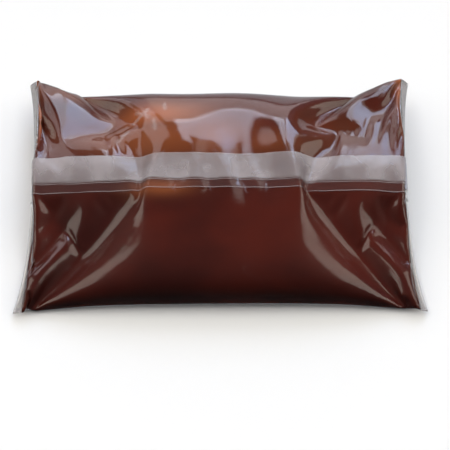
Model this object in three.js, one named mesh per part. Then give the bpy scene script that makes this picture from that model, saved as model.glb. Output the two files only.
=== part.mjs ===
// A catering pouch of barbecue sauce, lying flat. It is one tube of clear film, sealed across both
// ends, and the tube's own long seam is a fin folded over along the top.
//
// Millimetres. X runs along the pouch, Y from its front edge to its rear edge and Z is up. The
// origin is on the surface it lies on, under the middle of the pouch.
//
// The full pouch's shape is found as the real one finds it: a film that bends but hardly stretches
// is filled, sinks onto the table under the sauce's weight and comes to rest.

import * as THREE from 'three';
import { mergeVertices } from 'three/addons/utils/BufferGeometryUtils.js';

// The film as cut, and what is in it
const FILM_LENGTH = 260;
const FLAT_WIDTH = 166;          // half the tube's girth
const END_SEAL_WIDTH = 8;
const SEAL_THICKNESS = 0.9;
const FILL_VOLUME = 880e3;

// The fin: the long seam's two layers, folded to the rear. Its edges are measured across the flat
// film, from the middle of the top.
const FIN_BASE = -12;
const FIN_FREE_EDGE = 13;
const FIN_THICKNESS = 0.8;
const FIN_SIDE_SLOPE = 0.3;      // how far its two long sides lean, across the film

// Where the two end seals lie
const CORNER_X = 123.5;          // from the middle to a corner
const WAIST_X = 114.5;           // to the middle of an end, which the filling draws in
const WAIST_ROUNDING = 0.7;      // under 1, so that an end is straighter than an arc
const SEAL_FRONT_Y = -82;
const SEAL_REAR_Y = 82.5;
const SEAL_LEAN = 40;            // how steeply a seal rises inward, in degrees
// A seal's height from front to rear: the front corner lies on the table, the middle is lifted by
// the filling and the rear corner stands up as an ear. Share of the way, then height.
const SEAL_HEIGHTS = [[0, 2.5], [0.2, 5], [0.36, 13], [0.55, 21], [0.75, 21], [1, 15.5]];

// The long folds in the top film, from near the fin to the front corners: X and Y of their ends
const FOLD_START = [61, -24];
const FOLD_END = [110, -82];
const FOLD_WIDTH = 8;
const FOLD_PUSH = 0.012;         // how far the film is pressed in there at each step

// The net of film points, and how it is relaxed
const ROW_PITCH = 4;
const CELLS_ACROSS = 30;         // from the front fold to the rear fold, on each side
const START_HEIGHT = 34;
const START_LENGTH_SHARE = 0.93;
const START_END_HEIGHT = 9;
const START_TAPER = 2.6;         // how late towards an end the start shape thins
const START_TAPER_ROUNDING = 0.6;
const START_END_THICKNESS = 0.02;
const START_RIPPLE = 0.4;
const RIPPLE_WAVES = [[1.7, 2.3], [0.6, -1.1]];    // turns for each row and column, in radians
const STEPS = 1500;
const SINK = 0.0003;             // the sauce's head of pressure, for each millimetre of height
const STIFFNESS = 0.003;         // against bending
const FIN_STIFFNESS = 0.01;      // the seam is four films thick
const SEAL_HOLD = 0.05;
const GLIDE = 0.985;             // the share of its motion that a point keeps
const FLOOR_GRIP = 0.6;

const SAUCE_COLOUR = 0x43191a;
const SAUCE_ROUGHNESS = 0.18;

const rows = Math.round(FILM_LENGTH / ROW_PITCH);
const around = 2 * CELLS_ACROSS;
const columnPitch = FLAT_WIDTH / CELLS_ACROSS;
const sealRows = Math.round(END_SEAL_WIDTH / ROW_PITCH);
const firstFilled = sealRows + 1;
const lastFilled = rows - sealRows - 1;

// Column 0 is the front fold and CELLS_ACROSS the rear fold. The columns between them are the top
// of the film, and the rest come back underneath.
const point = (row, column) => row * around + ((column + around) % around);
const under = (column) => (around - column) % around;
const share = (column) => Math.min(column, around - column) / CELLS_ACROSS;
const isTop = (column) => column > 0 && column < CELLS_ACROSS;
const isSeal = (row) => row <= sealRows || row >= rows - sealRows;
const flatY = (column) => (share(column) - 0.5) * FLAT_WIDTH;
const isFin = (column) => isTop(column) && flatY(column) > FIN_BASE && flatY(column) < FIN_FREE_EDGE;

function eachPoint(visit, firstRow = 0, lastRow = rows) {
  for (let row = firstRow; row <= lastRow; row++) {
    for (let column = 0; column < around; column++) visit(row, column, point(row, column));
  }
}

// A section of the tube of constant girth: flat above and below, with round folds.
function tubeSection(column, height) {
  const radius = height / 2;
  const flat = FLAT_WIDTH - Math.PI * radius;
  const arc = share(column) * FLAT_WIDTH;
  const fold = Math.PI * radius / 2;
  let y = arc - fold - flat / 2;
  let z = radius;
  if (arc < fold) {
    y = -flat / 2 - radius * Math.cos(arc / radius);
    z = radius * Math.sin(arc / radius);
  } else if (arc > fold + flat) {
    const turn = (arc - fold - flat) / radius;
    y = flat / 2 + radius * Math.sin(turn);
    z = radius * Math.cos(turn);
  }
  return { y, z: column > CELLS_ACROSS ? -z : z };
}

// A faint unevenness that lets folds begin.
function ripple(row, column) {
  const [first, second] = RIPPLE_WAVES.map(([along, across]) => along * row + across * column);
  return START_RIPPLE * Math.sin(first) * Math.cos(second);
}

// The plump tube that the relaxing starts from.
function startShape() {
  const film = [];
  const filledHalf = FILM_LENGTH / 2 - END_SEAL_WIDTH;
  eachPoint((row, column) => {
    const x = (row / rows - 0.5) * FILM_LENGTH;
    const plump = Math.max(0, 1 - Math.abs(x / filledHalf) ** START_TAPER) ** START_TAPER_ROUNDING;
    const height = Math.max(START_HEIGHT * plump, START_END_THICKNESS);
    const { y, z } = tubeSection(column, height);
    const middle = START_END_HEIGHT * (1 - plump) + height / 2;
    film.push(new THREE.Vector3(x * START_LENGTH_SHARE, y, middle + z + ripple(row, column)));
  });
  return film;
}

// Each link keeps two film points at their flat distance: along, around and both ways across. The
// links of a kind come in two alternating sets, so that a sweep over them favours no direction.
function filmLinks() {
  const links = [];
  for (const [rowStep, columnStep] of [[1, 0], [0, 1], [1, 1], [1, -1]]) {
    const length = Math.hypot(rowStep * ROW_PITCH, columnStep * columnPitch);
    for (const set of [0, 1]) {
      eachPoint((row, column, here) => {
        const counted = rowStep ? row : column;
        if (counted % 2 === set) links.push([here, point(row + rowStep, column + columnStep), length]);
      }, 0, rows - rowStep);
    }
  }
  return links;
}

function sealHeight(across) {
  const next = SEAL_HEIGHTS.findIndex(([place]) => place >= across);
  if (next === 0) return SEAL_HEIGHTS[0][1];
  const [from, low] = SEAL_HEIGHTS[next - 1];
  const [to, high] = SEAL_HEIGHTS[next];
  return THREE.MathUtils.lerp(low, high, (across - from) / (to - from));
}

// Where the end seals are drawn to: bowed in at the middle, and sloping up inward.
function sealPlaces() {
  const lean = THREE.MathUtils.degToRad(SEAL_LEAN);
  const places = [];
  for (const [end, side] of [[0, -1], [rows, 1]]) {
    for (let step = 0; step <= sealRows; step++) {
      for (let column = 0; column < around; column++) {
        const across = share(column);
        const bow = Math.sin(Math.PI * across) ** WAIST_ROUNDING;
        const inward = step / sealRows * END_SEAL_WIDTH;
        const x = THREE.MathUtils.lerp(CORNER_X, WAIST_X, bow) - inward * Math.cos(lean);
        const y = THREE.MathUtils.lerp(SEAL_FRONT_Y, SEAL_REAR_Y, across);
        const z = sealHeight(across) + inward * Math.sin(lean);
        places.push([point(end - side * step, column), new THREE.Vector3(side * x, y, z)]);
      }
    }
  }
  return places;
}

// Each filled point's share of the surface, as a vector along the outward normal.
function areaNormals(film) {
  const normals = film.map(() => new THREE.Vector3());
  const along = new THREE.Vector3();
  const across = new THREE.Vector3();
  const cellShare = 1 / (2 * 2);       // both differences span two cells
  eachPoint((row, column, here) => {
    along.subVectors(film[point(row + 1, column)], film[point(row - 1, column)]);
    across.subVectors(film[point(row, column + 1)], film[point(row, column - 1)]);
    normals[here].crossVectors(along, across).multiplyScalar(cellShare);
  }, firstFilled, lastFilled);
  return normals;
}

// How far each point stands off the mean of its neighbours.
function unevenness(field) {
  return field.map((value, here) => {
    const row = Math.floor(here / around);
    const column = here % around;
    const off = new THREE.Vector3().addScaledVector(value, -2);
    off.add(field[point(row, column - 1)]).add(field[point(row, column + 1)]);
    if (row > 0 && row < rows) {
      off.add(field[point(row - 1, column)]).add(field[point(row + 1, column)]).addScaledVector(value, -2);
    }
    return off;
  });
}

// The sauce sinks under its own weight and the folds press in, while the volume is kept.
function fill(film, folds) {
  const normals = areaNormals(film);
  let volume = 0;
  let spread = 0;
  film.forEach((place, here) => {
    volume += place.dot(normals[here]) / 3;
    spread += normals[here].lengthSq();
  });
  const swell = (FILL_VOLUME - volume) / spread;
  const cellArea = ROW_PITCH * columnPitch;
  film.forEach((place, here) => {
    place.addScaledVector(normals[here], swell - (SINK * place.z + folds[here]) / cellArea);
  });
}

// How far each film point is pressed in by the two front folds. They lie in the top film alone.
function foldDepths(film) {
  const nearest = new THREE.Vector3();
  const folds = [-1, 1].map((side) => new THREE.Line3(
    new THREE.Vector3(side * FOLD_START[0], FOLD_START[1], 0),
    new THREE.Vector3(side * FOLD_END[0], FOLD_END[1], 0),
  ));
  return film.map((place, here) => {
    if (!isTop(here % around)) return 0;
    const flat = new THREE.Vector3(place.x, place.y, 0);
    return Math.max(...folds.map((fold) => {
      const away = fold.closestPointToPoint(flat, true, nearest).distanceTo(flat);
      return FOLD_PUSH * Math.exp(-((away / FOLD_WIDTH) ** 2));
    }));
  });
}

function straighten(film) {
  const bending = unevenness(unevenness(film));
  film.forEach((place, here) => {
    const stiffness = isFin(here % around) ? FIN_STIFFNESS : STIFFNESS;
    place.addScaledVector(bending[here], -stiffness);
  });
}

function pullLinks(film, links) {
  const gap = new THREE.Vector3();
  for (const [a, b, length] of links) {
    gap.subVectors(film[b], film[a]);
    gap.multiplyScalar(0.5 * (1 - length / gap.length()));
    film[a].add(gap);
    film[b].sub(gap);
  }
}

// The two layers are joined in the end seals, and elsewhere the top stays over the bottom.
function closeFilm(film) {
  eachPoint((row, column, here) => {
    if (!isTop(column)) return;
    const below = film[point(row, under(column))];
    const above = film[here];
    if (isSeal(row)) {
      above.lerp(below, 0.5);
      below.copy(above);
    } else {
      const crossed = Math.max(0, SEAL_THICKNESS + below.z - above.z) / 2;
      above.z += crossed;
      below.z -= crossed;
    }
  });
}

function relax(film) {
  const links = filmLinks();
  const places = sealPlaces();
  const folds = foldDepths(film);
  const motion = film.map(() => new THREE.Vector3());
  const before = film.map((place) => place.clone());
  for (let step = 0; step < STEPS; step++) {
    film.forEach((place, here) => before[here].copy(place));
    film.forEach((place, here) => place.addScaledVector(motion[here], GLIDE));
    fill(film, folds);
    straighten(film);
    for (const [here, place] of places) film[here].lerp(place, SEAL_HOLD);
    pullLinks(film, links);
    closeFilm(film);
    film.forEach((place, here) => {
      const onTable = place.z < 0;
      if (onTable) place.z = 0;
      motion[here].subVectors(place, before[here]).multiplyScalar(onTable ? FLOOR_GRIP : 1);
    });
  }
}

function centre(film) {
  const box = new THREE.Box3().setFromPoints(film);
  const middle = box.getCenter(new THREE.Vector3());
  for (const place of film) place.sub(new THREE.Vector3(middle.x, middle.y, box.min.z));
}

// A closed skin over a grid of two layers, each given as rows of points with equal counts.
function sheetBody(upper, lower) {
  const length = upper.length;
  const width = upper[0].length;
  const vertices = [...upper.flat(), ...lower.flat()];
  const high = (row, column) => row * width + column;
  const low = (row, column) => (length + row) * width + column;
  const faces = [];
  const quad = (a, b, c, d) => faces.push(a, b, c, a, c, d);
  for (let row = 0; row < length - 1; row++) {
    for (let column = 0; column < width - 1; column++) {
      quad(high(row, column), high(row + 1, column), high(row + 1, column + 1), high(row, column + 1));
      quad(low(row, column), low(row, column + 1), low(row + 1, column + 1), low(row + 1, column));
    }
    quad(high(row, 0), low(row, 0), low(row + 1, 0), high(row + 1, 0));
    quad(high(row, width - 1), high(row + 1, width - 1), low(row + 1, width - 1), low(row, width - 1));
  }
  for (let column = 0; column < width - 1; column++) {
    const last = length - 1;
    quad(high(0, column), high(0, column + 1), low(0, column + 1), low(0, column));
    quad(high(last, column), low(last, column), low(last, column + 1), high(last, column + 1));
  }
  const geometry = new THREE.BufferGeometry().setFromPoints(vertices);
  geometry.setIndex(faces);
  return mergeVertices(geometry);
}

const topColumns = Array.from({ length: CELLS_ACROSS + 1 }, (_, column) => column);
const rowRange = (from, to) => Array.from({ length: to - from + 1 }, (_, step) => from + step);

// The way out of the top layer at a film point.
function outward(film, row, column) {
  const between = (from, to) => new THREE.Vector3().subVectors(film[to], film[from]);
  const along = between(point(Math.max(row - 1, 0), column), point(Math.min(row + 1, rows), column));
  const across = between(
    point(row, Math.max(column - 1, 0)),
    point(row, Math.min(column + 1, CELLS_ACROSS)),
  );
  return along.cross(across).normalize();
}

// A point of the upper or lower layer. The layers that are joined in an end seal part by its
// thickness.
function layerPoint(film, row, column, side) {
  if (!isSeal(row) || !isTop(column)) return film[point(row, side > 0 ? column : under(column))];
  return film[point(row, column)].clone()
    .addScaledVector(outward(film, row, column), side * SEAL_THICKNESS / 2);
}

// The lines that the skin follows along the pouch: the film's columns and the two sides of the fin.
// Each is a column, or a place between two, and how far the top stands out there.
function skinLines() {
  const columnAt = (y) => (y / FLAT_WIDTH + 0.5) * CELLS_ACROSS;
  const front = columnAt(FIN_BASE);
  const rear = columnAt(FIN_FREE_EDGE);
  const slope = FIN_SIDE_SLOPE / columnPitch;
  const lines = topColumns.map((column) => [column, column > front && column < rear ? FIN_THICKNESS : 0]);
  lines.push([front, 0], [front + slope, FIN_THICKNESS], [rear - slope, FIN_THICKNESS], [rear, 0]);
  return lines.sort(([a], [b]) => a - b);
}

function pouchBody(film) {
  const lines = skinLines();
  const layer = (side) => rowRange(0, rows).map((row) => lines.map(([place, height]) => {
    const before = Math.min(Math.floor(place), CELLS_ACROSS - 1);
    const share = place - before;
    const spot = layerPoint(film, row, before, side).clone();
    spot.lerp(layerPoint(film, row, before + 1, side), share);
    if (side < 0 || height === 0) return spot;
    const out = outward(film, row, before).lerp(outward(film, row, before + 1), share);
    return spot.addScaledVector(out.normalize(), height);
  }));
  return sheetBody(layer(1), layer(-1));
}

function saucePouch() {
  const film = startShape();
  relax(film);
  centre(film);
  const geometry = pouchBody(film);
  geometry.computeVertexNormals();
  const material = new THREE.MeshStandardMaterial({
    color: SAUCE_COLOUR, roughness: SAUCE_ROUGHNESS, metalness: 0,
  });
  const mesh = new THREE.Mesh(geometry, material);
  mesh.name = 'sauce_pouch';
  return mesh;
}

const group = new THREE.Group();
group.add(saucePouch());

export default group;
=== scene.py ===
import math
import time
import bpy
import numpy as np
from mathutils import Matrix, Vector


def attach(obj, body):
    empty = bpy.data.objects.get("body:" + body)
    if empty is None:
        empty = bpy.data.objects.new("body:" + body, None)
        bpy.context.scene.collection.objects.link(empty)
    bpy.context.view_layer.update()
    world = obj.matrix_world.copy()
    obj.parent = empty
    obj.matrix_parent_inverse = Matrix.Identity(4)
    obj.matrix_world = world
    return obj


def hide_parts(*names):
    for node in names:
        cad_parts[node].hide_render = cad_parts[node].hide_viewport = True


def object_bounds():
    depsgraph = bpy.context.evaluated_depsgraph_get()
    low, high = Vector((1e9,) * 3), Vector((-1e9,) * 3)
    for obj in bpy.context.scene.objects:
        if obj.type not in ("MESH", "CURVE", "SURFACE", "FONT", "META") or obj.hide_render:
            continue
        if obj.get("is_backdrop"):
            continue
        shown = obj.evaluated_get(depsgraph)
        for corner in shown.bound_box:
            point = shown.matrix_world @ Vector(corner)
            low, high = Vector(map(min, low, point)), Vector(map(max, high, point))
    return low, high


# Catering pouch of barbecue sauce: clear film, sauce, seam fin and end seals.
# The film is relaxed in millimetres and turned into metres when its meshes are made.
# Film points run in rows from the left end to the right, and round the tube from its front
# edge over the top to the rear edge and back underneath.

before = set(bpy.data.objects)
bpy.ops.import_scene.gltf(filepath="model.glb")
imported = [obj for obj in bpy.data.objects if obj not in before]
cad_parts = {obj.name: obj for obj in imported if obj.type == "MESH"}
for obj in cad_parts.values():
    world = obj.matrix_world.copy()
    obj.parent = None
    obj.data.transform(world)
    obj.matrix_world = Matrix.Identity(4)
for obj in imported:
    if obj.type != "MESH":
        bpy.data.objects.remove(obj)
cadLow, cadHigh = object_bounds()
startTime = time.time()
print("frame loaded")

pouch = {
    "length": 260.0,            # film tube, cut length
    "flatWidth": 166.0,         # half its girth
    "fillVolume": 0.86e6,
    "sealWidth": 6.5,
    "cornerX": 123.3, "waistX": 114.5, "waistRounding": 0.7,    # ends, at the corners and mid end
    "frontY": -81.8, "rearY": 82.2,
    # along each end seal from front to rear: low corner, raised middle, rear corner as an ear
    "sealPlace": (0, 0.2, 0.36, 0.55, 0.75, 1),
    "sealHeight": (2.5, 5, 13, 22, 22, 15.5),
    "sealLean": (25, 35, 45, 45, 70, 40),       # how steeply the seal rises inward, degrees
    "sealRounding": 0.06,
}

net = {
    "rows": 52, "across": 34,       # coarsest net, doubled at each level
    "steps": (1200, 1000, 300), "ease": (1, 1, 0.4),
    "bend": 0.0016, "seamBend": 0.014, "sealBend": 0.004,
    "sink": 0.0005,                 # sauce's head of pressure per mm of height
    "glide": 0.985, "grip": 0.6, "sealHold": 0.05,
}

seam = {
    "base": -9.2, "free": 16.0,             # across the flat film, from mid top
    "shift": -3.0, "straightness": 0.1,     # it lies in front of the middle, in a line
    "stiffMargin": 2.0,
    "topGap": 0.6, "underGap": 0.35,        # its two faces, above the film
    "columns": 41,
    "whiteFade": (9, 14),                   # it is whiter up to this far from its ends
}


def lineDistance(x, y, line):
    # distance to a run of straight stretches, and how far along it the nearest place is, 0 to 1
    best = np.full(x.shape, 1e9)
    along = np.zeros(x.shape)
    stretches = list(zip(line[:-1], line[1:]))
    for i, ((ax, ay), (bx, by)) in enumerate(stretches):
        lengthSquared = (bx - ax) ** 2 + (by - ay) ** 2
        t = np.clip(((x - ax) * (bx - ax) + (y - ay) * (by - ay)) / lengthSquared, 0, 1)
        d = np.hypot(x - ax - t * (bx - ax), y - ay - t * (by - ay))
        along = np.where(d < best, (i + t) / len(stretches), along)
        best = np.minimum(best, d)
    return best, along


slack = {       # loose film: pushed in and out at random
    "cell": 17.0, "push": 0.003, "seed": 11,
    # round the tube, 0 at the front edge and 1 at the rear: front, seam, rear and underside
    "aroundPlace": (0, 0.4, 0.45, 0.57, 0.65, 1, 1.1, 2),
    "aroundGain": (0.15, 0.15, 0.1, 0.1, 1.8, 1.8, 0.5, 0.5),
    "calmFrom": 68.0, "calmOver": 15.0, "endGain": 0.3,
}


def splineWeights(t):
    return ((1 - t) ** 3 / 6, (3 * t ** 3 - 6 * t ** 2 + 4) / 6,
            (1 + 3 * t + 3 * t ** 2 - 3 * t ** 3) / 6, t ** 3 / 6)


def looseness(rows, around):
    # smooth random field over the flat film, strongest behind the seam
    rng = np.random.default_rng(slack["seed"])
    countX = round(pouch["length"] / slack["cell"])
    countY = round(2 * pouch["flatWidth"] / slack["cell"])
    coarse = rng.normal(0, 1, (countX + 3, countY))
    coarse = np.concatenate([coarse, coarse[:, :3]], 1)
    alongPlace = np.arange(rows + 1) / rows * (countX - 0.001)      # stays inside the last cell
    aroundPlace = np.arange(around) / around * countY
    i, k = alongPlace.astype(int), aroundPlace.astype(int)
    rowWeights, columnWeights = splineWeights(alongPlace - i), splineWeights(aroundPlace - k)
    field = np.zeros((rows + 1, around))
    for a in range(4):
        for b in range(4):
            weight = rowWeights[a][:, None] * columnWeights[b][None]
            field += weight * coarse[np.ix_(i + a, k + b)]
    gain = np.interp(np.arange(around) / (around / 2), slack["aroundPlace"], slack["aroundGain"])
    far = np.abs(np.arange(rows + 1) / rows - 0.5) * pouch["length"]
    calm = (slack["calmFrom"], slack["calmFrom"] + slack["calmOver"])
    return slack["push"] * field * gain * np.interp(far, calm, (1, slack["endGain"]))[:, None]


# folds of the slack film, as lines seen from above, x and y in mm; push is inward
folds = {
    "both": [       # near both front corners, mirrored
        {"line": [(-60, -21), (-75, -39), (-93, -60), (-110, -82)], "width": 8, "push": 0.024},
        {"line": [(-74, -26), (-89, -44), (-104, -61)], "width": 5, "push": -0.006},
        {"line": [(-88, -22), (-99, -36), (-109, -48), (-118, -62)], "width": 4.5, "push": 0.020},
        {"line": [(-98, -17), (-104, -26), (-112, -35)], "width": 3, "push": 0.020},
    ],
    "left": [       # round the facet of the left ear
        {"line": [(-86, 70), (-70, 58), (-54, 43)], "width": 4.5, "push": 0.014},
        {"line": [(-54, 43), (-74, 37), (-102, 29)], "width": 5, "push": 0.010},
        {"line": [(-102, 56), (-78, 50)], "width": 14, "push": 0.003},
        {"line": [(-108, 22), (-110, 40)], "width": 3.5, "push": 0.015},
        {"line": [(-60, 62), (-30, 56), (0, 60)], "width": 4, "push": 0.005},
    ],
    "right": [      # round the facet of the right ear
        {"line": [(112, 60), (98, 52), (90, 60)], "width": 4, "push": 0.012},
        {"line": [(86, 70), (70, 58), (54, 43)], "width": 4.5, "push": 0.014},
        {"line": [(54, 43), (74, 37), (102, 29)], "width": 5, "push": 0.010},
        {"line": [(102, 56), (78, 50)], "width": 14, "push": 0.003},
        {"line": [(112, 22), (104, 34)], "width": 4, "push": 0.012},
    ],
    "tail": 0.12,       # a fold is faint at its ends
}


def foldPress(p, gain):
    # inward push of all folds, for the points on top
    rows, around = p.shape[0] - 1, p.shape[1]
    push = np.zeros(p.shape[:2])
    mirrored = [dict(fold, line=[(-x, y) for x, y in fold["line"]]) for fold in folds["both"]]
    for fold in folds["both"] + mirrored + folds["left"] + folds["right"]:
        d, t = lineDistance(p[..., 0], p[..., 1], fold["line"])
        ends = np.sin(np.pi * (folds["tail"] + (1 - 2 * folds["tail"]) * t))
        push += fold["push"] * np.exp(-(d / fold["width"]) ** 2) * ends
    push[:, around // 2:] = 0
    push = (gain * (push + looseness(rows, around)))[..., None]

    def press(normal):
        size = np.sqrt((normal * normal).sum(-1, keepdims=True))
        move = -push * normal / np.maximum(size, 1e-9)
        move[..., :2] -= move[..., :2].mean((0, 1))         # the pouch as a whole stays put
        return move
    return press


plumpTube = {       # the shape that the relaxing starts from
    "height": 34.0, "shortening": 0.93, "endLift": 9.0,
    "fullness": 2.6, "roundness": 0.6,
    "ripple": 0.8, "seed": 7,
}


def tubeStart(rows, across):
    # plump tube of constant girth
    rng = np.random.default_rng(plumpTube["seed"])
    column = np.arange(2 * across)
    v = np.minimum(column, 2 * across - column) / across
    under = column > across
    points = np.zeros((rows + 1, 2 * across, 3))
    half = pouch["length"] / 2 - pouch["sealWidth"]
    for row in range(rows + 1):
        x = (row / rows - 0.5) * pouch["length"]
        plump = max(0.0, 1 - abs(x / half) ** plumpTube["fullness"]) ** plumpTube["roundness"]
        r = max(plumpTube["height"] * plump, 0.02) / 2
        flat = pouch["flatWidth"] - math.pi * r
        arc = v * pouch["flatWidth"]
        fold = math.pi * r / 2
        turn = np.where(arc < fold, arc / r, (arc - fold - flat) / r)
        onFront, onRear = arc < fold, arc > fold + flat
        y = arc - fold - flat / 2
        y = np.where(onFront, -flat / 2 - r * np.cos(turn), y)
        y = np.where(onRear, flat / 2 + r * np.sin(turn), y)
        z = np.where(onFront, r * np.sin(turn), np.where(onRear, r * np.cos(turn), r))
        z = plumpTube["endLift"] * (1 - plump) + r + np.where(under, -z, z)
        points[row] = np.stack([np.full_like(y, x * plumpTube["shortening"]), y, z], 1)
    points[..., 2] += rng.normal(0, plumpTube["ripple"], points.shape[:2])
    return points


def doubled(points):
    # smooth midpoints from the four nearest points, along and then around
    inner = (9 * (points[1:-2] + points[2:-1]) - points[:-3] - points[3:]) / 16
    first = (points[:1] + points[1:2]) / 2
    last = (points[-2:-1] + points[-1:]) / 2
    along = np.empty((points.shape[0] * 2 - 1, *points.shape[1:]))
    along[0::2] = points
    along[1::2] = np.concatenate([first, inner, last])
    around = np.empty((along.shape[0], along.shape[1] * 2, *points.shape[2:]))
    around[:, 0::2] = along
    near = along + np.roll(along, -1, 1)
    far = np.roll(along, 1, 1) + np.roll(along, -2, 1)
    around[:, 1::2] = (9 * near - far) / 16
    return around


def aroundPlaces(across):
    # 0 at the front edge and 1 at the rear, the place across the flat film, and what is on top
    column = np.arange(2 * across)
    v = np.minimum(column, 2 * across - column) / across
    return v, (v - 0.5) * pouch["flatWidth"], column < across


def sealRowsOf(rows):
    return max(1, round(pouch["sealWidth"] / (pouch["length"] / rows)))


def sealTargets(points, rows, across):
    # where the rows of both end seals are drawn to
    v = aroundPlaces(across)[0]
    bow = np.sin(np.pi * v)
    hold = np.zeros((rows + 1, 2 * across, 1))
    places = points.copy()
    near = v[:, None] + np.linspace(-pouch["sealRounding"], pouch["sealRounding"], 7)
    near = np.clip(near, 0, 1)
    edge = np.interp(near, pouch["sealPlace"], pouch["sealHeight"]).mean(1)
    lean = np.radians(np.interp(near, pouch["sealPlace"], pouch["sealLean"]).mean(1))
    depth = sealRowsOf(rows)
    for step in range(depth + 1):
        inward = step / depth * pouch["sealWidth"]
        out = pouch["cornerX"] - (pouch["cornerX"] - pouch["waistX"]) * bow ** pouch["waistRounding"]
        out -= inward * np.cos(lean)
        rise = inward * np.sin(lean)
        for row, side in ((step, -1), (rows - step, 1)):
            places[row, :, 0] = side * out
            places[row, :, 1] = pouch["frontY"] + (pouch["rearY"] - pouch["frontY"]) * v
            places[row, :, 2] = edge + rise
            hold[row] = net["sealHold"]
    return hold, places


def tangents(p):
    along = np.empty_like(p)
    along[1:-1] = (p[2:] - p[:-2]) * 0.5
    along[0] = p[1] - p[0]
    along[-1] = p[-1] - p[-2]
    return along, (np.roll(p, -1, 1) - np.roll(p, 1, 1)) * 0.5


def unevenness(p):
    off = np.roll(p, -1, 1) + np.roll(p, 1, 1) - 2 * p
    off[1:-1] += p[2:] + p[:-2] - 2 * p[1:-1]
    return off


def pull(a, b, length):
    # half the move that brings a link back to its length
    gap = b - a
    size = np.sqrt((gap * gap).sum(-1, keepdims=True)) + 1e-12
    return gap * (0.5 * (size - length) / size)


def relax(p, steps, ease, press):
    # film that bends but hardly stretches, full of sauce, on the table
    rows, around = p.shape[0] - 1, p.shape[1]
    across = around // 2
    y, top = aroundPlaces(across)[1:]
    pitchX, pitchY = pouch["length"] / rows, pouch["flatWidth"] / across
    diagonal = math.hypot(pitchX, pitchY)
    depth = sealRowsOf(rows)
    sealed = np.r_[0:depth + 1, rows - depth:rows + 1]
    seamed = top & (y > seam["base"] - seam["stiffMargin"]) & (y < seam["free"])
    bend = np.full((rows + 1, around, 1), net["bend"])
    bend[:, seamed] = net["seamBend"]
    bend[sealed] = net["sealBend"]
    hold, places = sealTargets(p, rows, across)
    pair = (-np.arange(around)) % around        # the point under each point
    motion = np.zeros_like(p)
    for step in range(steps):
        old = p.copy()
        along, aroundWay = tangents(p)
        normal = np.cross(along, aroundWay)
        normal[sealed] = 0
        volume = (p * normal).sum() / 3
        p = p + motion * net["glide"] - (ease * net["sink"] / (pitchX * pitchY)) * p[..., 2:3] * normal
        p = p + ((pouch["fillVolume"] - volume) / (normal * normal).sum()) * normal
        p = p - bend * unevenness(unevenness(p))
        if press is not None:
            p = p + press(normal)
        p = p + hold * (places - p)
        p[:, seamed, 1] += seam["straightness"] * (y[seamed] + seam["shift"] - p[:, seamed, 1])
        for first in (0, 1):                        # links along
            a, b = p[first:rows:2], p[first + 1:rows + 1:2]
            move = pull(a, b, pitchX)
            a += move
            b -= move
        for first in (0, 1):                        # links around
            q = np.roll(p, -first, 1)
            move = pull(q[:, 0::2], q[:, 1::2], pitchY)
            q[:, 0::2] += move
            q[:, 1::2] -= move
            p = np.roll(q, first, 1)
        for way in (1, -1):                         # diagonals
            for first in (0, 1):
                a, b = p[first:rows:2], p[first + 1:rows + 1:2]
                move = pull(a, np.roll(b, -way, 1), diagonal)
                a += move
                b -= np.roll(move, way, 1)
        p[sealed] = (p[sealed] + p[sealed][:, pair]) * 0.5
        upper, lower = p[:, 1:across], p[:, :across:-1]
        crossed = np.clip(lower[..., 2] - upper[..., 2], 0, None) * 0.5
        upper[..., 2] += crossed
        lower[..., 2] -= crossed
        low = p[..., 2] < 0
        p[..., 2] = np.where(low, 0, p[..., 2])
        motion = p - old
        motion[low] *= net["grip"]
    return p


def formPouch():
    p = tubeStart(net["rows"], net["across"])
    levels = net["steps"]
    for level, steps in enumerate(levels):
        if level:
            p = doubled(p)
        ease = net["ease"][level]
        p = relax(p, steps, ease, foldPress(p, ease) if level else None)
        print(f"film relaxed, level {level}, {time.time() - startTime:.0f} s")
    middle = (p.max((0, 1)) + p.min((0, 1))) / 2
    p[..., :2] -= middle[:2]
    return p


def unitNormals(p):
    along, around = tangents(p)
    n = np.cross(along, around)
    size = np.sqrt((n * n).sum(-1, keepdims=True))
    return n / np.maximum(size, 1e-9)


film = formPouch()
normals = unitNormals(film)
rowCount, aroundCount = film.shape[0] - 1, film.shape[1]
acrossCount = aroundCount // 2
sealDepth = sealRowsOf(rowCount)
inside = slice(sealDepth, rowCount - sealDepth + 1)      # the rows between the end seals


def newMaterial(name):
    material = bpy.data.materials.new(name)
    material.use_nodes = True
    nodes = material.node_tree.nodes
    nodes.clear()
    return material, nodes, material.node_tree.links


def mathNode(nodes, links, operation, *values):
    node = nodes.new("ShaderNodeMath")
    node.operation = operation
    for i, value in enumerate(values):
        if isinstance(value, (int, float)):
            node.inputs[i].default_value = value
        else:
            links.new(value, node.inputs[i])
    return node.outputs[0]


def rangeNode(nodes, links, value, low, high, toLow=0.0, toHigh=1.0):
    node = nodes.new("ShaderNodeMapRange")
    node.interpolation_type = "SMOOTHSTEP"
    links.new(value, node.inputs["Value"])
    for key, number in (("From Min", low), ("From Max", high), ("To Min", toLow), ("To Max", toHigh)):
        node.inputs[key].default_value = number
    return node.outputs["Result"]


def mixColour(nodes, links, factor, a, b):
    node = nodes.new("ShaderNodeMix")
    node.data_type = "RGBA"
    for socket, value in ((node.inputs[0], factor), (node.inputs[6], a), (node.inputs[7], b)):
        if isinstance(value, tuple):
            socket.default_value = (*value, 1)
        else:
            links.new(value, socket)
    return node.outputs[2]


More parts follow.
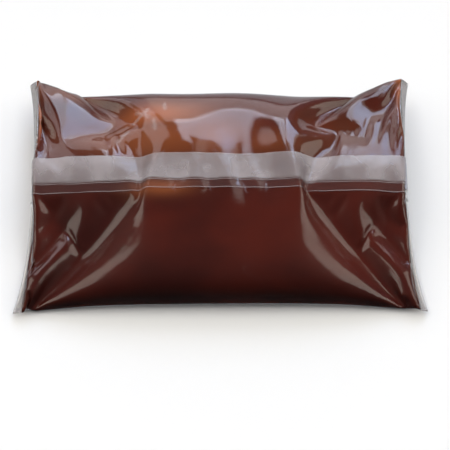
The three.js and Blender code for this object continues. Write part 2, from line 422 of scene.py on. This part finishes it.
def noiseNode(nodes, links, scale, detail=2.0, stretch=(1, 1, 1), offset=(0, 0, 0)):
    coords = nodes.new("ShaderNodeTexCoord")
    mapping = nodes.new("ShaderNodeMapping")
    mapping.inputs["Scale"].default_value = stretch
    mapping.inputs["Location"].default_value = offset
    noise = nodes.new("ShaderNodeTexNoise")
    noise.inputs["Scale"].default_value = scale
    noise.inputs["Detail"].default_value = detail
    links.new(coords.outputs["Object"], mapping.inputs["Vector"])
    links.new(mapping.outputs[0], noise.inputs["Vector"])
    return noise.outputs["Fac"]


def valueNode(nodes, name):
    node = nodes.new("ShaderNodeAttribute")
    node.attribute_name = name
    return node.outputs["Fac"]


def mixShader(nodes, links, factor, a, b):
    mix = nodes.new("ShaderNodeMixShader")
    links.new(factor, mix.inputs[0])
    links.new(a.outputs[0], mix.inputs[1])
    links.new(b.outputs[0], mix.inputs[2])
    return mix


def showShader(nodes, links, shader):
    out = nodes.new("ShaderNodeOutputMaterial")
    links.new(shader.outputs[0], out.inputs["Surface"])


filmLooks = {
    "index": 1.58, "waveScale": 90, "waveDepth": 0.00009,
    "roughLow": 0.045, "roughHigh": 0.12, "patchScale": 22, "patchFrom": 0.4, "patchTo": 0.65,
    "milk": (0.8, 0.76, 0.76), "milkRough": 0.35,
    # fine scratches: the veins of one pattern, shown where a second one is high
    "veinScale": 48, "veinWidth": 0.007,
    "wornScale": 40, "wornOffset": (7, 5, 2), "wornFrom": 0.50, "wornTo": 0.62,
}


def filmMaterial(name, haze, scratches):
    looks = filmLooks
    material, nodes, links = newMaterial(name)
    bump = nodes.new("ShaderNodeBump")
    bump.inputs["Distance"].default_value = looks["waveDepth"]
    links.new(noiseNode(nodes, links, looks["waveScale"], 3), bump.inputs["Height"])
    gloss = nodes.new("ShaderNodeBsdfGlossy")
    patches = noiseNode(nodes, links, looks["patchScale"], 3)
    links.new(rangeNode(nodes, links, patches, looks["patchFrom"], looks["patchTo"],
                        looks["roughLow"], looks["roughHigh"]), gloss.inputs["Roughness"])
    links.new(bump.outputs[0], gloss.inputs["Normal"])
    fresnel = nodes.new("ShaderNodeFresnel")
    fresnel.inputs["IOR"].default_value = looks["index"]
    links.new(bump.outputs[0], fresnel.inputs["Normal"])
    shine = mixShader(nodes, links, fresnel.outputs[0], nodes.new("ShaderNodeBsdfTransparent"), gloss)
    vein = mathNode(nodes, links, "SUBTRACT", noiseNode(nodes, links, looks["veinScale"]), 0.5)
    vein = rangeNode(nodes, links, mathNode(nodes, links, "ABSOLUTE", vein), 0, looks["veinWidth"], 1, 0)
    worn = noiseNode(nodes, links, looks["wornScale"], offset=looks["wornOffset"])
    worn = rangeNode(nodes, links, worn, looks["wornFrom"], looks["wornTo"])
    scratch = mathNode(nodes, links, "MULTIPLY", vein, worn)
    cover = mathNode(nodes, links, "MULTIPLY_ADD", scratch, scratches, haze)
    cover = mathNode(nodes, links, "ADD", cover, valueNode(nodes, "scuff"))
    milk = nodes.new("ShaderNodeBsdfPrincipled")
    milk.inputs["Base Color"].default_value = (*looks["milk"], 1)
    milk.inputs["Roughness"].default_value = looks["milkRough"]
    showShader(nodes, links, mixShader(nodes, links, cover, shine, milk))
    return material


sauceLooks = {
    # the amber is a painted glow, the colour of light coming through thin sauce
    "dark": (0.080, 0.0068, 0.0028), "red": (0.136, 0.0122, 0.0038), "paintedAmber": (0.66, 0.205, 0.060),
    "rough": 0.5, "cloudScale": 18, "cloudStretch": (1, 1.4, 1), "cloudFrom": 0.34, "cloudTo": 0.68,
    "clearBelow": 0.4, "fullAbove": 1.6,        # depth in mm; no sauce shows where the layers meet
}


def sauceMaterial():
    # depth, and the painted glow that stands in for light coming through thin sauce, are stored on the
    # sauce's points
    looks = sauceLooks
    material, nodes, links = newMaterial("barbecueSauce")
    cloud = noiseNode(nodes, links, looks["cloudScale"], 5, looks["cloudStretch"])
    cloud = rangeNode(nodes, links, cloud, looks["cloudFrom"], looks["cloudTo"])
    base = mixColour(nodes, links, cloud, looks["dark"], looks["red"])
    body = nodes.new("ShaderNodeBsdfPrincipled")
    body.inputs["Roughness"].default_value = looks["rough"]
    # the painted glow of light through the sauce turns the base colour towards amber
    links.new(mixColour(nodes, links, valueNode(nodes, "paintedGlow"), base, looks["paintedAmber"]),
              body.inputs["Base Color"])
    full = rangeNode(nodes, links, valueNode(nodes, "depth"), looks["clearBelow"], looks["fullAbove"])
    showShader(nodes, links, mixShader(nodes, links, full, nodes.new("ShaderNodeBsdfTransparent"), body))
    return material


seamLooks = {
    "milk": (0.46, 0.41, 0.42), "rough": 0.25,
    "coverLow": 0.24, "coverHigh": 0.56, "blotchScale": 34, "blotchStretch": (1.1, 0.7, 1),
    "blotchFrom": 0.36, "blotchTo": 0.64,
    "endMilk": (0.52, 0.52, 0.60), "endCover": 0.28,
    "weldFrom": 0.29, "strip": 0.02,            # the weld is milky and the strip in front of it clear
    # pale lines across the fin: crease lines near its root, and at 0.985 a painted highlight along its free
    # edge
    "lines": (0.02, 0.24, 0.28, 0.985), "creaseAndHighlightCover": 0.42, "lineWidth": 0.012,
    "wanderScale": 28, "wanderStretch": (1, 0.1, 0.1), "wander": 0.10,
}


def seamMaterial():
    # place runs from 0 at the fin's root to 1 at its free edge, and white is 1 at its two ends
    looks = seamLooks
    material, nodes, links = newMaterial("weldedSeam")
    wander = noiseNode(nodes, links, looks["wanderScale"], stretch=looks["wanderStretch"])
    wander = mathNode(nodes, links, "SUBTRACT", wander, 0.5)
    place = mathNode(nodes, links, "MULTIPLY_ADD", wander, looks["wander"], valueNode(nodes, "place"))
    weld = rangeNode(nodes, links, place, looks["weldFrom"] - 0.01, looks["weldFrom"] + 0.02)
    blotch = noiseNode(nodes, links, looks["blotchScale"], 4, looks["blotchStretch"])
    blotch = rangeNode(nodes, links, blotch, looks["blotchFrom"], looks["blotchTo"],
                       looks["coverLow"], looks["coverHigh"])
    cover = mixColour(nodes, links, weld, (looks["strip"],) * 3, blotch)
    # pale crease lines, the last one a painted highlight along the free edge
    for line in looks["lines"]:
        off = mathNode(nodes, links, "ABSOLUTE", mathNode(nodes, links, "SUBTRACT", place, line))
        mask = rangeNode(nodes, links, off, 0, looks["lineWidth"], looks["creaseAndHighlightCover"], 0)
        cover = mathNode(nodes, links, "MAXIMUM", cover, mask)
    white = mathNode(nodes, links, "MULTIPLY", valueNode(nodes, "white"), weld)
    cover = mathNode(nodes, links, "MULTIPLY_ADD", white, looks["endCover"], cover)
    milky = nodes.new("ShaderNodeBsdfPrincipled")
    milky.inputs["Roughness"].default_value = looks["rough"]
    links.new(mixColour(nodes, links, white, looks["milk"], looks["endMilk"]), milky.inputs["Base Color"])
    showShader(nodes, links, mixShader(nodes, links, cover, nodes.new("ShaderNodeBsdfTransparent"), milky))
    return material


clearFilm = filmMaterial("clearFilm", haze=0.002, scratches=0.015)
sealedFilm = filmMaterial("sealedFilm", haze=0.24, scratches=0.1)
barbecueSauce = sauceMaterial()
weldedSeam = seamMaterial()
print("materials made")


def meshPiece(name, vertices, faces, material):
    mesh = bpy.data.meshes.new(name)
    mesh.from_pydata((np.asarray(vertices).reshape(-1, 3) * 0.001).tolist(), [], faces)
    mesh.polygons.foreach_set("use_smooth", [True] * len(mesh.polygons))
    mesh.materials.append(material)
    piece = bpy.data.objects.new(name, mesh)
    bpy.context.scene.collection.objects.link(piece)
    return piece


def addValues(piece, name, values):
    layer = piece.data.attributes.new(name, "FLOAT", "POINT")
    layer.data.foreach_set("value", np.asarray(values, np.float32).ravel())


def capFaces(first, around):
    # closes an end section: quads from each top point to the one under it
    across = around // 2
    top = lambda k: first + k
    under = lambda k: first + (around - k) % around
    faces = [(top(0), top(1), under(1))]
    for k in range(1, across - 1):
        faces.append((top(k), top(k + 1), under(k + 1), under(k)))
    faces.append((top(across - 1), top(across), under(across - 1)))
    return faces


def closedTube(name, p, material):
    rows, around = p.shape[0] - 1, p.shape[1]
    faces = []
    for i in range(rows):
        for k in range(around):
            k2 = (k + 1) % around
            faces.append((i * around + k, (i + 1) * around + k, (i + 1) * around + k2, i * around + k2))
    faces += capFaces(0, around)
    faces += [tuple(reversed(face)) for face in capFaces(rows * around, around)]
    return meshPiece(name, p, faces, material)


def sheetSolid(name, upper, lower, material):
    # closed sheet between two grids of points
    rows, cols = upper.shape[:2]
    vertices = np.concatenate([upper.reshape(-1, 3), lower.reshape(-1, 3)])
    high = lambda i, k: i * cols + k
    low = lambda i, k: rows * cols + i * cols + k
    faces = []
    for i in range(rows - 1):
        for k in range(cols - 1):
            faces.append((high(i, k), high(i + 1, k), high(i + 1, k + 1), high(i, k + 1)))
            faces.append((low(i, k), low(i, k + 1), low(i + 1, k + 1), low(i + 1, k)))
        faces.append((high(i, 0), low(i, 0), low(i + 1, 0), high(i + 1, 0)))
        faces.append((high(i, cols - 1), high(i + 1, cols - 1), low(i + 1, cols - 1), low(i, cols - 1)))
    for k in range(cols - 1):
        faces.append((high(0, k), high(0, k + 1), low(0, k + 1), low(0, k)))
        last = rows - 1
        faces.append((high(last, k), low(last, k), low(last, k + 1), high(last, k + 1)))
    return meshPiece(name, vertices, faces, material)


# depths and distances in mm
sauce = {
    "underFilm": 0.3,
    "evenOver": 14, "evenTurns": 4,         # how far the depth is evened out round the tube
    # painted amber glow where the layer is thin, standing in for light coming through it, more so towards
    # the rear where most light comes from, and less underneath
    "thinPaintedGlow": 0.75, "thinFrom": 11, "thinOver": 9, "rearOver": 40, "middleShare": 0.3, "frontShare": 0.08,
    "underShare": 0.3,
    # painted glow where light comes up through it: x, y, reach along and across, strength
    "paintedGlowSpots": [(-38, 47, 30, 13, 0.80), (-40, 28, 48, 20, 0.48), (-6, 28, 30, 20, 0.42),
              (-36, -11, 18, 6, 0.5), (-95, 70, 20, 10, 0.25), (30, 22, 26, 12, 0.28),
              (70, 34, 40, 26, 0.14), (-92, 40, 22, 20, 0.1)],
}


def sauceDepth():
    # how deep the sauce is about each film point: the widest gap between the layers close by
    pair = (-np.arange(aroundCount)) % aroundCount
    gap = np.sqrt(((film - film[:, pair]) ** 2).sum(-1))
    reach = max(1, round(sauce["evenOver"] / (pouch["flatWidth"] / acrossCount)))
    depth = gap.copy()
    for step in range(1, reach + 1):
        depth = np.maximum(depth, np.maximum(np.roll(gap, step, 1), np.roll(gap, -step, 1)))
    for turn in range(sauce["evenTurns"]):
        depth[1:-1] = (depth[:-2] + 2 * depth[1:-1] + depth[2:]) / 4
        depth = (np.roll(depth, 1, 1) + 2 * depth + np.roll(depth, -1, 1)) / 4
    return depth[inside]


def makeSauce():
    depth = sauceDepth()
    p = film[inside] - sauce["underFilm"] * normals[inside]
    piece = closedTube("sauceFill", p, barbecueSauce)
    addValues(piece, "depth", depth)
    # painted glow of light through the sauce: where it is thin, more towards the rear, at the listed
    # places, and weaker underneath
    thin = np.clip((sauce["thinFrom"] - depth) / sauce["thinOver"], 0, 1)
    rearShare = np.clip(p[..., 1] / sauce["rearOver"] + sauce["middleShare"], sauce["frontShare"], 1)
    paintedGlow = sauce["thinPaintedGlow"] * thin * rearShare
    for x, y, reachX, reachY, strength in sauce["paintedGlowSpots"]:
        away = ((p[..., 0] - x) / reachX) ** 2 + ((p[..., 1] - y) / reachY) ** 2
        paintedGlow = np.maximum(paintedGlow, strength * np.exp(-away))
    paintedGlow[:, acrossCount + 1:] *= sauce["underShare"]
    addValues(piece, "paintedGlow", paintedGlow)
    return piece


# pale scuffs on top of the film, as lines seen from above
scuffs = {
    "lines": [[(-54, 41), (-45, 51)], [(-52, 50), (-44, 44)], [(-63, 26), (-57, 34)],
              [(-40, 33), (-41, 41)], [(-35, 57), (-34, 51)]],
    "width": 1.1, "cover": 0.17,
}


def makeFilm():
    p = film[inside]
    piece = closedTube("pouchFilm", p, clearFilm)
    scuff = np.zeros(p.shape[:2])
    for line in scuffs["lines"]:
        away = lineDistance(p[..., 0], p[..., 1], line)[0]
        scuff = np.maximum(scuff, scuffs["cover"] * np.exp(-(away / scuffs["width"]) ** 2))
    scuff[:, acrossCount + 1:] = 0
    addValues(piece, "scuff", scuff)
    return piece


endSeal = {"halfThickness": 0.15}


def makeSeals():
    pieces = []
    for name, first in (("endSealLeft", 0), ("endSealRight", rowCount - sealDepth)):
        last = first + sealDepth
        mid = film[first:last + 1, :acrossCount + 1]
        out = endSeal["halfThickness"] * normals[first:last + 1, :acrossCount + 1]
        pieces.append(sheetSolid(name, mid + out, mid - out, sealedFilm))
    return pieces


def topLine(row, places):
    # film points and normals on top of one row, at the given distances from front to rear
    y = np.maximum.accumulate(film[row, :acrossCount + 1, 1])
    column = np.interp(places, y, np.arange(acrossCount + 1))
    lower = np.clip(np.floor(column).astype(int), 0, acrossCount - 1)
    share = (column - lower)[:, None]
    point = film[row, lower] * (1 - share) + film[row, lower + 1] * share
    normal = normals[row, lower] * (1 - share) + normals[row, lower + 1] * share
    return point, normal


def makeSeam():
    share = np.linspace(0, 1, seam["columns"])
    places = seam["base"] + (seam["free"] - seam["base"]) * share + seam["shift"]
    lines = [topLine(row, places) for row in range(rowCount + 1)]
    line = np.array([point for point, normal in lines])
    n = np.array([normal for point, normal in lines])
    piece = sheetSolid("seamFin", line + seam["topGap"] * n, line + seam["underGap"] * n, weldedSeam)
    addValues(piece, "place", np.tile(share, 2 * (rowCount + 1)))
    row = np.arange(rowCount + 1)
    fromEnd = np.minimum(row, rowCount - row) * pouch["length"] / rowCount
    white = np.interp(fromEnd, seam["whiteFade"], (1, 0))
    addValues(piece, "white", np.tile(np.repeat(white, len(share)), 2))
    return piece


sauceFill = makeSauce()
pouchFilm = makeFilm()
endSealLeft, endSealRight = makeSeals()
seamFin = makeSeam()
for piece, slot in ((sauceFill, "sauce"), (pouchFilm, "film"), (seamFin, "seam"),
                    (endSealLeft, "film"), (endSealRight, "film")):
    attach(piece, "root")
    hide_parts("sauce_pouch")
print(f"pieces made, {time.time() - startTime:.0f} s")


table = {"colour": (0.85, 0.85, 0.85), "half": 4}


def makeTable():
    # plain pale floor, left out of the film's reflections
    material, nodes, links = newMaterial("paleFloor")
    body = nodes.new("ShaderNodeBsdfDiffuse")
    body.inputs["Color"].default_value = (*table["colour"], 1)
    showShader(nodes, links, body)
    far = table["half"]
    mesh = bpy.data.meshes.new("floor")
    mesh.from_pydata([(-far, -far, 0), (far, -far, 0), (far, far, 0), (-far, far, 0)], [], [(0, 1, 2, 3)])
    mesh.materials.append(material)
    floor = bpy.data.objects.new("floor", mesh)
    bpy.context.scene.collection.objects.link(floor)
    floor.visible_glossy = False
    floor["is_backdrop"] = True


studio = {
    # soft windows round the table, as directions in degrees: from, to, low, high, strength, colour
    "windows": [
        (-42, -12, 20, 50, 2.0, (0.96, 0.88, 0.90)),        # rear left
        (-30, -9, 6, 24, 1.2, (0.84, 0.88, 1.0)),
        (10, 29, 24, 50, 4.6, (0.56, 0.79, 1.18)),          # rear right, blue daylight
        (-9, 14, 2, 30, 1.7, (1.0, 0.93, 0.93)),            # rear, low
        (-105, 105, -80, -2, 0.8, (0.92, 0.95, 1.0)),       # pale table behind and beside it
        (-3, 5, 26, 54, 4.8, (0.80, 0.90, 1.07)),           # rear, the pane that shows in the top
        (5, 10, 30, 48, 4.2, (0.80, 0.90, 1.06)),
        (9, 34, 26, 58, 1.4, (1.0, 0.90, 0.84)),
        (-110, -52, 22, 62, 1.9, (1.0, 0.95, 0.84)),        # left
        (52, 110, 22, 62, 1.9, (1.0, 0.95, 0.84)),          # right
    ],
    "base": 0.03, "soft": 1.5,
    "tear": 7.0, "tearScale": 9.0,      # how ragged the windows' edges are, degrees
    "fillPlace": (0, -0.2, 2.2), "fillTarget": (0, 0, 0), "fillSize": 3.0, "fillRadiance": 1.35,
}


def makeWindows():
    world = bpy.data.worlds.new("studio")
    bpy.context.scene.world = world
    world.use_nodes = True
    nodes, links = world.node_tree.nodes, world.node_tree.links
    nodes.clear()
    coords = nodes.new("ShaderNodeTexCoord")
    split = nodes.new("ShaderNodeSeparateXYZ")
    links.new(coords.outputs["Generated"], split.inputs[0])
    x, y, z = split.outputs
    tear = nodes.new("ShaderNodeTexNoise")
    tear.inputs["Scale"].default_value = studio["tearScale"]
    tear.inputs["Detail"].default_value = 3
    links.new(coords.outputs["Generated"], tear.inputs["Vector"])
    tears = nodes.new("ShaderNodeSeparateColor")
    links.new(tear.outputs["Color"], tears.inputs[0])
    places = []
    angles = (mathNode(nodes, links, "ARCTAN2", x, y), mathNode(nodes, links, "ARCSINE", z))
    for angle, amount in zip(angles, tears.outputs):
        degrees = mathNode(nodes, links, "MULTIPLY", angle, 180 / math.pi)
        ragged = mathNode(nodes, links, "MULTIPLY_ADD", amount, studio["tear"], -studio["tear"] / 2)
        places.append(mathNode(nodes, links, "ADD", degrees, ragged))
    total = nodes.new("ShaderNodeCombineXYZ")
    for i in range(3):
        total.inputs[i].default_value = studio["base"]
    total = total.outputs[0]
    soft = studio["soft"]
    for left, right, low, high, strength, colour in studio["windows"]:
        mask = 1.0
        for place, start, end in zip(places, (left, low), (right, high)):
            rise = rangeNode(nodes, links, place, start - soft, start + soft)
            fall = rangeNode(nodes, links, place, end - soft, end + soft, 1, 0)
            both = mathNode(nodes, links, "MULTIPLY", rise, fall)
            mask = mathNode(nodes, links, "MULTIPLY", mask, both)
        pane = nodes.new("ShaderNodeVectorMath")
        pane.operation = "MULTIPLY_ADD"
        links.new(mask, pane.inputs[0])
        pane.inputs[1].default_value = tuple(strength * channel for channel in colour)
        links.new(total, pane.inputs[2])
        total = pane.outputs[0]
    back = nodes.new("ShaderNodeBackground")
    links.new(total, back.inputs["Color"])
    out = nodes.new("ShaderNodeOutputWorld")
    links.new(back.outputs[0], out.inputs["Surface"])


def makeFill():
    # soft light from above that gives the diffuse light and no reflection
    light = bpy.data.lights.new("topFill", "AREA")
    light.shape = "RECTANGLE"
    light.size = light.size_y = studio["fillSize"]
    light.energy = studio["fillRadiance"] * math.pi * studio["fillSize"] * studio["fillSize"]
    holder = bpy.data.objects.new("topFill", light)
    bpy.context.scene.collection.objects.link(holder)
    holder.location = studio["fillPlace"]
    aim = Vector(studio["fillTarget"]) - holder.location
    holder.rotation_euler = aim.to_track_quat("-Z", "Y").to_euler()
    holder.visible_glossy = False


view = {"elevation": 55, "distance": 0.863, "focal": 1381, "frame": 450, "target": (0.0031, -0.017, 0)}


def makeCamera():
    camera = bpy.data.cameras.new("camera")
    holder = bpy.data.objects.new("camera", camera)
    bpy.context.scene.collection.objects.link(holder)
    tilt = math.radians(view["elevation"])
    holder.location = (0, -view["distance"] * math.cos(tilt), view["distance"] * math.sin(tilt))
    aim = Vector(view["target"]) - holder.location
    holder.rotation_euler = aim.to_track_quat("-Z", "Y").to_euler()
    camera.sensor_width = 36
    camera.lens = view["focal"] * camera.sensor_width / view["frame"]
    camera.clip_start = 0.01
    bpy.context.scene.camera = holder


makeTable()
makeWindows()
makeFill()
makeCamera()
bpy.context.scene.view_settings.view_transform = "Standard"
print("stage, lights and camera set")

low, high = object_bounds()
sizes = {"cad": [list(cadLow), list(cadHigh)], "visual": [list(low), list(high)]}
print("size", sizes)
